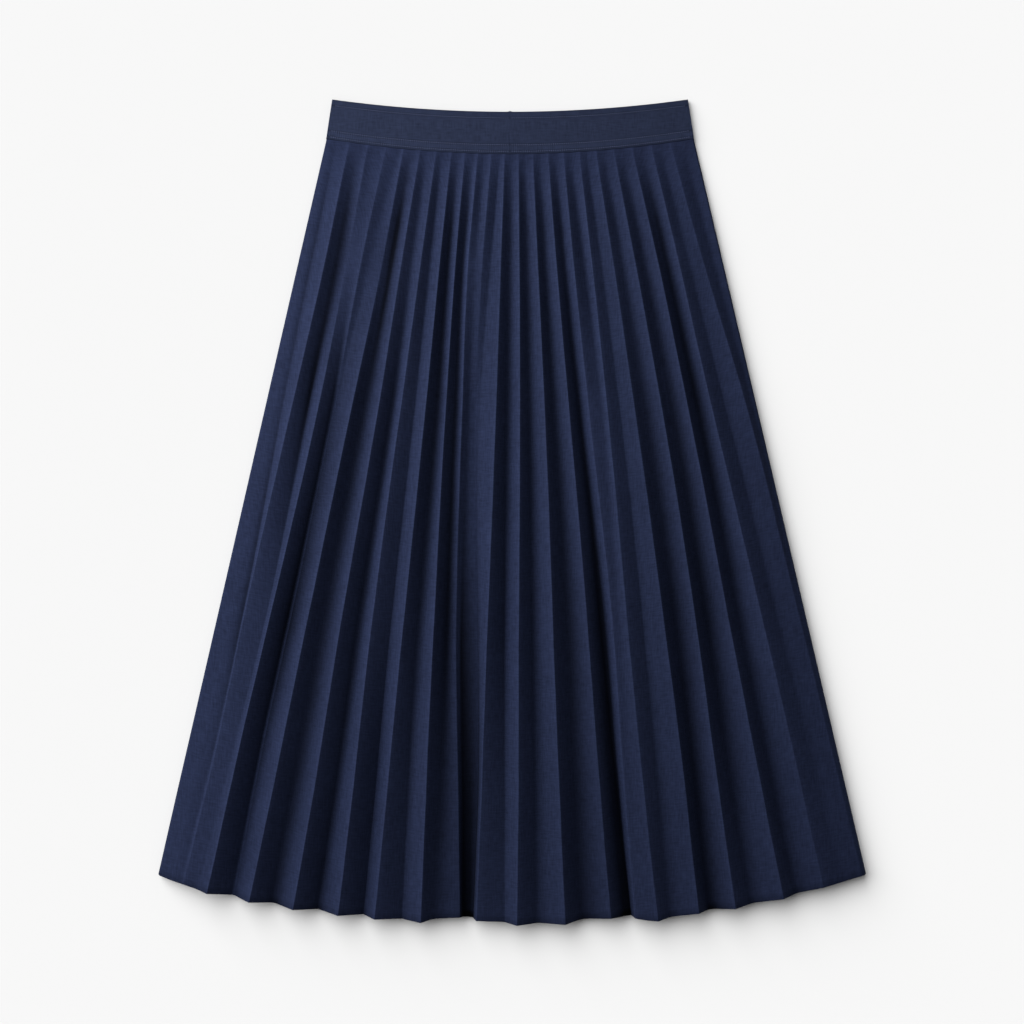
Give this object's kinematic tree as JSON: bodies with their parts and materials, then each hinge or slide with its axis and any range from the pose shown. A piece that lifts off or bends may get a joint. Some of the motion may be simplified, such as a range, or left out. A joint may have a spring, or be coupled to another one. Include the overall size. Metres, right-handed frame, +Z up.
{
  "type": "pleated midi skirt",
  "caption": "A-line midi skirt laid flat, with a plain waistband and narrow pressed pleats that open from waist to hem.",
  "frame": {"origin": "middle of the underside's bounding box, on the surface that the skirt lies on", "axes": "+Z up, off the surface; +Y from hem to waistband; +X to the right of someone looking down on the front"},
  "size_m": [0.663, 0.7705, 0.0243],
  "materials": {
    "pleat_cloth": "matt navy woven suiting, pressed into pleats",
    "waistband_cloth": "the same navy cloth folded over a stiffener and topstitched"
  },
  "bodies": {
    "root": {"skirt_front": "pleat_cloth", "skirt_back": "pleat_cloth", "waistband_front_left": "waistband_cloth", "waistband_front_right": "waistband_cloth", "waistband_back": "waistband_cloth"}
  },
  "joints": []
}
